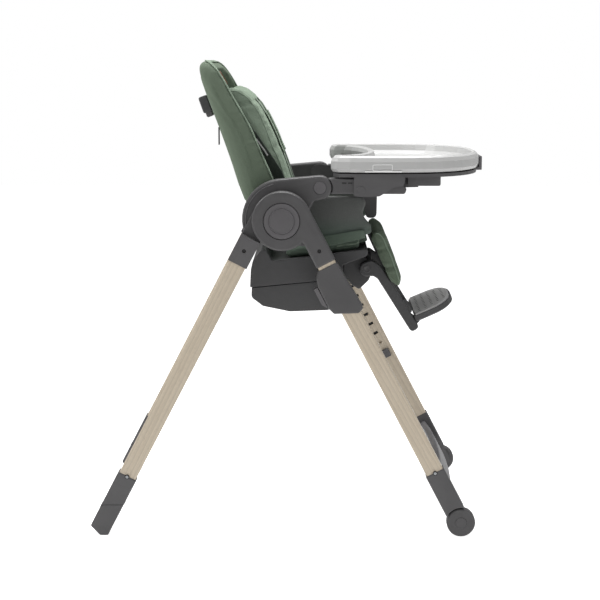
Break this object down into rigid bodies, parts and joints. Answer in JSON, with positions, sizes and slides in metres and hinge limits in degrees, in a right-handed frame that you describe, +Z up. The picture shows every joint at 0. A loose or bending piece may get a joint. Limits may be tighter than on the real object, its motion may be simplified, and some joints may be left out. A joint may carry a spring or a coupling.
{
  "type": "baby high chair",
  "caption": "Folding baby high chair on wooden A-frame legs, with a reclining padded seat, a calf rest, a footrest and a sliding tray.",
  "frame": {"origin": "middle of the footprint's box, on the floor", "axes": "+X to the front, the way a child faces; +Y to the chair's left; +Z up"},
  "size_m": [0.8877, 0.56, 1.0539],
  "materials": {
    "dark_plastic": "fine moulded texture, dark grey",
    "hub_plastic": "satin, dark grey",
    "wheel_plastic": "matt soft tread",
    "light_plastic": "fine moulded texture, mid grey",
    "tray_plastic": "satin, pale grey",
    "mat_rubber": "ribbed, grey",
    "ash_wood": "pale, clear matt lacquer",
    "green_fabric": "padded plain weave, sage green",
    "inlay_fabric": "soft knit, light sage green",
    "webbing": "woven tape, near black"
  },
  "bodies": {
    "front_frame": {"front_leg_right": "ash_wood", "front_leg_left": "ash_wood", "hub_housing_right": "hub_plastic", "hub_housing_left": "hub_plastic", "front_boot_right": "dark_plastic", "front_boot_left": "dark_plastic", "leg_stop_right": "dark_plastic", "leg_stop_left": "dark_plastic", "front_crossbar": "light_plastic"},
    "rear_frame": {"rear_leg_right": "ash_wood", "rear_leg_left": "ash_wood", "rear_sleeve_right": "light_plastic", "rear_sleeve_left": "light_plastic", "rear_boot_right": "dark_plastic", "rear_boot_left": "dark_plastic", "rear_crossbar": "light_plastic"},
    "seat_carriage": {"slider_right": "dark_plastic", "slider_left": "dark_plastic", "side_panel_right": "dark_plastic", "side_panel_left": "dark_plastic", "seat_side_right": "dark_plastic", "seat_side_left": "dark_plastic", "seat_shell": "dark_plastic", "seat_base_cover": "dark_plastic", "seat_cushion": "green_fabric", "footrest_bracket": "dark_plastic", "harness_buckle": "dark_plastic"},
    "backrest": {"back_shell": "green_fabric", "inlay_cushion": "inlay_fabric", "recline_housing": "dark_plastic", "shoulder_strap_right": "webbing", "shoulder_strap_left": "webbing"},
    "recline_lever": {"recline_lever": "light_plastic"},
    "zip_pull": {"zip_pull": "dark_plastic"},
    "calf_rest": {"calf_pad": "green_fabric", "calf_board": "dark_plastic"},
    "footrest": {"footrest_arm_right": "dark_plastic", "footrest_arm_left": "dark_plastic"},
    "footplate": {"footplate": "dark_plastic", "footplate_mat": "mat_rubber"},
    "armrests": {"armrest_right": "dark_plastic", "armrest_left": "dark_plastic"},
    "tray_base": {"tray_base": "dark_plastic", "crotch_post": "dark_plastic"},
    "tray_top": {"tray_top": "tray_plastic"},
    "tray_lever": {"tray_lever": "light_plastic"},
    "wheel_right": {"wheel_right": "wheel_plastic"},
    "fold_button_right": {"fold_button_right": "hub_plastic"},
    "height_trigger_right": {"height_trigger_right": "light_plastic"},
    "armrest_button_right": {"armrest_button_right": "hub_plastic"},
    "wheel_left": {"wheel_left": "wheel_plastic"},
    "fold_button_left": {"fold_button_left": "hub_plastic"},
    "height_trigger_left": {"height_trigger_left": "light_plastic"},
    "armrest_button_left": {"armrest_button_left": "hub_plastic"}
  },
  "joints": [
    {"name": "leg_fold", "type": "hinge", "parent": "front_frame", "child": "rear_frame", "pos_m": [-0.0131, 0, 0.70974], "axis": [0, -1, 0], "range_deg": [0, 50]},
    {"name": "height_adjust", "type": "slide", "parent": "front_frame", "child": "seat_carriage", "axis": [0.4617, 0, -0.887], "range_m": [0, 0.189]},
    {"name": "backrest_recline", "type": "hinge", "parent": "seat_carriage", "child": "backrest", "pos_m": [-0.0131, 0, 0.70974], "axis": [0, -1, 0], "range_deg": [0, 56]},
    {"name": "calf_rest_lift", "type": "hinge", "parent": "seat_carriage", "child": "calf_rest", "pos_m": [0.1869, 0, 0.68224], "axis": [0, -1, 0], "range_deg": [0, 25]},
    {"name": "footrest_fold", "type": "hinge", "parent": "seat_carriage", "child": "footrest", "pos_m": [0.1779, 0, 0.58274], "axis": [0, 1, 0], "range_deg": [0, 30]},
    {"name": "footplate_height", "type": "slide", "parent": "footrest", "child": "footplate", "axis": [-0.5344, 0, 0.8453], "range_m": [0, 0.03]},
    {"name": "armrest_swing", "type": "hinge", "parent": "seat_carriage", "child": "armrests", "pos_m": [0.0699, 0, 0.77924], "axis": [0, -1, 0], "range_deg": [0, 55]},
    {"name": "tray_depth", "type": "slide", "parent": "armrests", "child": "tray_base", "axis": [1, 0, 0], "range_m": [0, 0.05]},
    {"name": "tray_lift", "type": "slide", "parent": "tray_base", "child": "tray_top", "axis": [0, 0, 1], "range_m": [0, 0.03]},
    {"name": "tray_lever_pull", "type": "slide", "parent": "tray_top", "child": "tray_lever", "axis": [1, 0, 0], "range_m": [0, 0.006], "stiffness_N_per_m": 500},
    {"name": "recline_lever_squeeze", "type": "slide", "parent": "backrest", "child": "recline_lever", "axis": [-0.3338, 0, 0.9426], "range_m": [0, 0.008], "stiffness_N_per_m": 600},
    {"name": "zip_pull_swing", "type": "hinge", "parent": "backrest", "child": "zip_pull", "pos_m": [-0.1661, 0, 0.89924], "axis": [0, 1, 0], "range_deg": [0, 60]},
    {"name": "wheel_spin_right", "type": "hinge", "parent": "front_frame", "child": "wheel_right", "pos_m": [0.38762, -0.2675, 0.032], "axis": [0, 1, 0], "continuous": true},
    {"name": "fold_button_right_press", "type": "slide", "parent": "front_frame", "child": "fold_button_right", "axis": [0, 1, 0], "range_m": [0, 0.003], "stiffness_N_per_m": 900},
    {"name": "height_trigger_right_squeeze", "type": "slide", "parent": "seat_carriage", "child": "height_trigger_right", "axis": [0.4617, 0, -0.887], "range_m": [0, 0.005], "stiffness_N_per_m": 700},
    {"name": "armrest_button_right_press", "type": "slide", "parent": "seat_carriage", "child": "armrest_button_right", "axis": [0, 1, 0], "range_m": [0, 0.0028], "stiffness_N_per_m": 900},
    {"name": "wheel_spin_left", "type": "hinge", "parent": "front_frame", "child": "wheel_left", "pos_m": [0.38762, 0.2675, 0.032], "axis": [0, 1, 0], "continuous": true},
    {"name": "fold_button_left_press", "type": "slide", "parent": "front_frame", "child": "fold_button_left", "axis": [0, -1, 0], "range_m": [0, 0.003], "stiffness_N_per_m": 900},
    {"name": "height_trigger_left_squeeze", "type": "slide", "parent": "seat_carriage", "child": "height_trigger_left", "axis": [0.4617, 0, -0.887], "range_m": [0, 0.005], "stiffness_N_per_m": 700},
    {"name": "armrest_button_left_press", "type": "slide", "parent": "seat_carriage", "child": "armrest_button_left", "axis": [0, -1, 0], "range_m": [0, 0.0028], "stiffness_N_per_m": 900}
  ]
}
